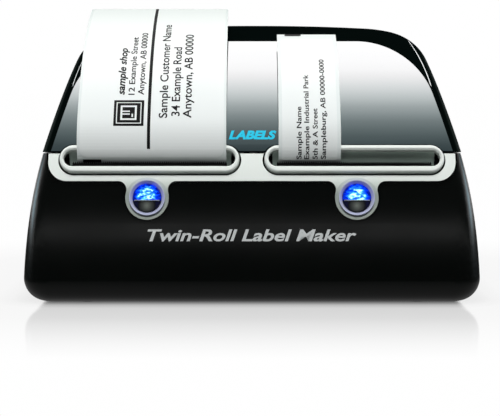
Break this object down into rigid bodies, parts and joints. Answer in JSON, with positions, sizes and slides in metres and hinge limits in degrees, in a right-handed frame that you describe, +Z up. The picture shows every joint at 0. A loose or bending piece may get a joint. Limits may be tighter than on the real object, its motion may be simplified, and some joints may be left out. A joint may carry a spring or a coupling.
{
  "type": "label maker",
  "caption": "Desktop thermal label printer with side-by-side roll bays, glossy arched lid, round lit feed buttons and slots that feed label strips.",
  "frame": {"origin": "on the table under the middle of the machine's bounding box", "axes": "+X to the machine's right as seen from the front, +Y to the back, +Z up"},
  "size_m": [0.218, 0.188, 0.1441],
  "materials": {
    "casing": "satin black moulded plastic",
    "cover_frame": "semi-gloss black moulded plastic",
    "mirror_panel": "polished smoked panel",
    "silver_trim": "fine silver paint on moulded plastic",
    "button_chrome": "bright chrome",
    "button_black": "gloss",
    "blue_lens": "lit translucent blue",
    "chute_grey": "gloss",
    "inner_plastic": "fine matt texture",
    "blade_steel": "ground",
    "plate_steel": "zinc plated",
    "shaft_steel": "ground",
    "aluminium": "satin",
    "head_ceramic": "glazed ceramic",
    "gear_plastic": "natural acetal",
    "bronze": "sintered bronze",
    "rubber_black": "matt",
    "board_green": "solder mask",
    "switch_black": "moulded",
    "motor_can": "plated",
    "socket_metal": "tinned",
    "label_paper": "smooth coated paper",
    "liner_paper": "waxed backing paper",
    "spool_plastic": "translucent moulded"
  },
  "bodies": {
    "base": {"base_housing": "casing", "bottom_plate": "casing", "rubber_feet": "rubber_black", "housing_screws": "plate_steel", "hinge_pins": "shaft_steel", "front_bezel": "silver_trim", "roll_tray": "inner_plastic", "inner_deck": "inner_plastic", "button_boards": "board_green", "tact_switches": "switch_black", "platen_bushes": "bronze", "head_springs": "shaft_steel", "main_board": "board_green", "usb_socket": "socket_metal", "power_socket": "switch_black", "slot_ring_left": "silver_trim", "slot_ring_right": "silver_trim", "tear_bar_left": "blade_steel", "tear_bar_right": "blade_steel", "exit_chute_left": "chute_grey", "exit_chute_right": "chute_grey", "button_ring_left": "button_chrome", "button_ring_right": "button_chrome", "mech_frame_left": "plate_steel", "mech_frame_right": "plate_steel", "feed_motor_left": "motor_can", "feed_motor_right": "motor_can", "label_liner_left": "liner_paper", "label_liner_right": "liner_paper", "label_sticker_left": "label_paper", "label_sticker_right": "label_paper"},
    "cover": {"cover_shell": "cover_frame", "cover_panel": "mirror_panel"},
    "button_left": {"button_cap_left": "button_black", "button_lens_left": "blue_lens"},
    "platen_left": {"platen_shaft_left": "shaft_steel", "platen_rubber_left": "rubber_black", "platen_gear_left": "gear_plastic"},
    "idler_left": {"idler_gear_left": "gear_plastic"},
    "pinion_left": {"motor_pinion_left": "bronze"},
    "head_left": {"head_carrier_left": "aluminium", "print_head_left": "head_ceramic"},
    "lever_left": {"release_lever_left": "button_black"},
    "spool_left": {"spool_spindle_left": "spool_plastic", "label_roll_left": "label_paper"},
    "guide_left": {"spool_guide_left": "spool_plastic"},
    "button_right": {"button_cap_right": "button_black", "button_lens_right": "blue_lens"},
    "platen_right": {"platen_shaft_right": "shaft_steel", "platen_rubber_right": "rubber_black", "platen_gear_right": "gear_plastic"},
    "idler_right": {"idler_gear_right": "gear_plastic"},
    "pinion_right": {"motor_pinion_right": "bronze"},
    "head_right": {"head_carrier_right": "aluminium", "print_head_right": "head_ceramic"},
    "lever_right": {"release_lever_right": "button_black"},
    "spool_right": {"spool_spindle_right": "spool_plastic", "label_roll_right": "label_paper"},
    "guide_right": {"spool_guide_right": "spool_plastic"}
  },
  "joints": [
    {"name": "cover_hinge", "type": "hinge", "parent": "base", "child": "cover", "pos_m": [0, 0.0905, 0.072], "axis": [-1, 0, 0], "range_deg": [0, 80], "deforming": ["label_liner_left", "label_sticker_left", "label_liner_right", "label_sticker_right"]},
    {"name": "button_press_left", "type": "slide", "parent": "base", "child": "button_left", "axis": [0, 0.971, -0.2391], "range_m": [0, 0.0008], "stiffness_N_per_m": 600},
    {"name": "platen_spin_left", "type": "hinge", "parent": "base", "child": "platen_left", "pos_m": [0, -0.06321, 0.05774], "axis": [1, 0, 0], "continuous": true},
    {"name": "idler_spin_left", "type": "hinge", "parent": "base", "child": "idler_left", "pos_m": [0, -0.05741, 0.04107], "axis": [1, 0, 0], "continuous": true},
    {"name": "pinion_spin_left", "type": "hinge", "parent": "base", "child": "pinion_left", "pos_m": [0, -0.05206, 0.02721], "axis": [1, 0, 0], "continuous": true},
    {"name": "head_tilt_left", "type": "hinge", "parent": "base", "child": "head_left", "pos_m": [0, -0.06209, 0.04299], "axis": [1, 0, 0], "range_deg": [0, 4], "stiffness_Nm_per_rad": 0.4, "deforming": ["head_springs", "label_liner_left"]},
    {"name": "lever_turn_left", "type": "hinge", "parent": "base", "child": "lever_left", "pos_m": [0, -0.056, 0.047], "axis": [1, 0, 0], "range_deg": [0, 30]},
    {"name": "spool_spin_left", "type": "hinge", "parent": "base", "child": "spool_left", "pos_m": [0, 0.02, 0.068], "axis": [1, 0, 0], "continuous": true},
    {"name": "guide_slide_left", "type": "slide", "parent": "spool_left", "child": "guide_left", "axis": [-1, 0, 0], "range_m": [0, 0.003]},
    {"name": "button_press_right", "type": "slide", "parent": "base", "child": "button_right", "axis": [0, 0.971, -0.2391], "range_m": [0, 0.0008], "stiffness_N_per_m": 600},
    {"name": "platen_spin_right", "type": "hinge", "parent": "base", "child": "platen_right", "pos_m": [0, -0.06321, 0.05774], "axis": [1, 0, 0], "continuous": true},
    {"name": "idler_spin_right", "type": "hinge", "parent": "base", "child": "idler_right", "pos_m": [0, -0.05741, 0.04107], "axis": [1, 0, 0], "continuous": true},
    {"name": "pinion_spin_right", "type": "hinge", "parent": "base", "child": "pinion_right", "pos_m": [0, -0.05206, 0.02721], "axis": [1, 0, 0], "continuous": true},
    {"name": "head_tilt_right", "type": "hinge", "parent": "base", "child": "head_right", "pos_m": [0, -0.06209, 0.04299], "axis": [1, 0, 0], "range_deg": [0, 4], "stiffness_Nm_per_rad": 0.4, "deforming": ["head_springs", "label_liner_right"]},
    {"name": "lever_turn_right", "type": "hinge", "parent": "base", "child": "lever_right", "pos_m": [0, -0.056, 0.047], "axis": [1, 0, 0], "range_deg": [0, 30]},
    {"name": "spool_spin_right", "type": "hinge", "parent": "base", "child": "spool_right", "pos_m": [0, 0.02, 0.068], "axis": [1, 0, 0], "continuous": true},
    {"name": "guide_slide_right", "type": "slide", "parent": "spool_right", "child": "guide_right", "axis": [1, 0, 0], "range_m": [0, 0.044]}
  ],
  "couplings": [
    {"joint": "idler_spin_left", "follows": "platen_spin_left", "ratio": -0.66667},
    {"joint": "pinion_spin_left", "follows": "platen_spin_left", "ratio": 1.6667},
    {"joint": "lever_turn_left", "follows": "head_tilt_left", "ratio": 7.5},
    {"joint": "idler_spin_right", "follows": "platen_spin_right", "ratio": -0.66667},
    {"joint": "pinion_spin_right", "follows": "platen_spin_right", "ratio": 1.6667},
    {"joint": "lever_turn_right", "follows": "head_tilt_right", "ratio": 7.5}
  ]
}
